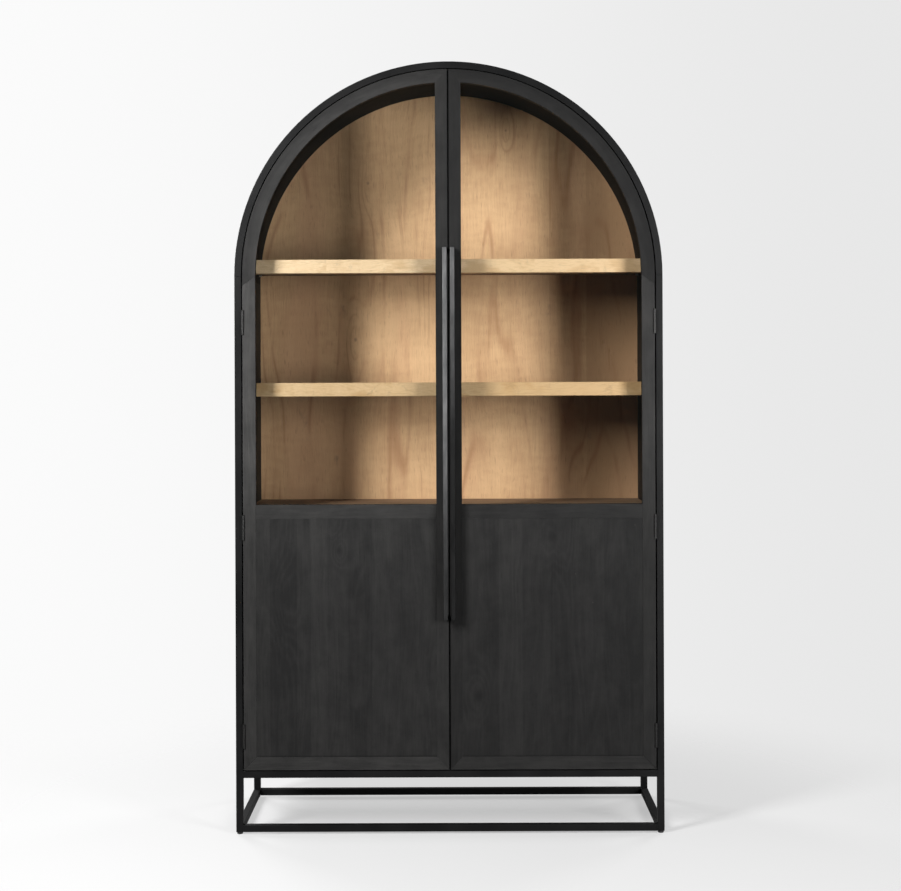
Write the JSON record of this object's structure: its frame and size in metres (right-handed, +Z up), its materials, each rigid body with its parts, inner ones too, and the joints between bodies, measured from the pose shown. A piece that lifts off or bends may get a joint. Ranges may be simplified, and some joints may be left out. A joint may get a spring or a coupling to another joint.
{
  "type": "arched display cabinet",
  "caption": "Tall arch-topped display cabinet on an open square-tube steel base, with glazed double doors, long bar handles, wooden shelves and a closed lower cupboard.",
  "frame": {"origin": "on the floor, under the middle of the object's box, handles included", "axes": "+X to the right as seen from the front, +Y from the doors towards the back panel, +Z up from the floor"},
  "size_m": [1.118, 0.436, 2.0159],
  "materials": {
    "black_steel": "satin black powder coat",
    "black_wood": "black stained hardwood, low sheen lacquer",
    "pale_wood": "pale natural hardwood, matt oil",
    "back_veneer": "tan wood veneer, vertical grain",
    "clear_glass": "clear float glass",
    "handle_metal": "semi-gloss black lacquered steel",
    "dark_hinge_steel": "dark lacquered steel",
    "plated_steel": "zinc plated steel",
    "black_plastic": "moulded black plastic",
    "black_felt": "black adhesive felt"
  },
  "bodies": {
    "cabinet": {"front_arch_tube": "black_steel", "front_left_post": "black_steel", "front_right_post": "black_steel", "rear_arch_tube": "black_steel", "rear_left_post": "black_steel", "rear_right_post": "black_steel", "front_floor_rail": "black_steel", "rear_floor_rail": "black_steel", "left_floor_rail": "black_steel", "right_floor_rail": "black_steel", "front_carcass_rail": "black_steel", "rear_carcass_rail": "black_steel", "left_carcass_rail": "black_steel", "right_carcass_rail": "black_steel", "leg_inserts": "black_plastic", "leg_glides": "black_plastic", "left_side_panel": "black_wood", "right_side_panel": "black_wood", "arch_panel": "black_wood", "bottom_panel": "black_wood", "middle_deck": "pale_wood", "back_panel": "back_veneer", "upper_shelf": "pale_wood", "upper_shelf_lipping": "pale_wood", "middle_shelf": "pale_wood", "middle_shelf_lipping": "pale_wood", "lower_shelf": "pale_wood", "shelf_pins": "plated_steel", "catch_housing": "black_plastic", "catch_magnets": "plated_steel", "frame_hinge_leaves": "dark_hinge_steel", "frame_hinge_screws": "plated_steel", "hinge_pins": "dark_hinge_steel"},
    "left_door": {"left_hinge_stile": "black_wood", "left_arch_rail": "black_wood", "left_meeting_stile": "black_wood", "left_lock_rail": "black_wood", "left_bottom_rail": "black_wood", "left_lower_panel": "black_wood", "left_glass": "clear_glass", "left_glass_beads": "black_wood", "left_handle": "handle_metal", "left_handle_screws": "plated_steel", "left_hinge_leaves": "dark_hinge_steel", "left_hinge_screws": "plated_steel", "left_strike_plate": "plated_steel", "left_meeting_seal": "black_felt"},
    "right_door": {"right_hinge_stile": "black_wood", "right_arch_rail": "black_wood", "right_meeting_stile": "black_wood", "right_lock_rail": "black_wood", "right_bottom_rail": "black_wood", "right_lower_panel": "black_wood", "right_glass": "clear_glass", "right_glass_beads": "black_wood", "right_handle": "handle_metal", "right_handle_screws": "plated_steel", "right_hinge_leaves": "dark_hinge_steel", "right_hinge_screws": "plated_steel", "right_strike_plate": "plated_steel"}
  },
  "joints": [
    {"name": "left_door_hinge", "type": "hinge", "parent": "cabinet", "child": "left_door", "pos_m": [-0.5375, -0.187, 0.801], "axis": [0, 0, -1], "range_deg": [0, 120]},
    {"name": "right_door_hinge", "type": "hinge", "parent": "cabinet", "child": "right_door", "pos_m": [0.5375, -0.187, 0.801], "axis": [0, 0, 1], "range_deg": [0, 120]}
  ]
}
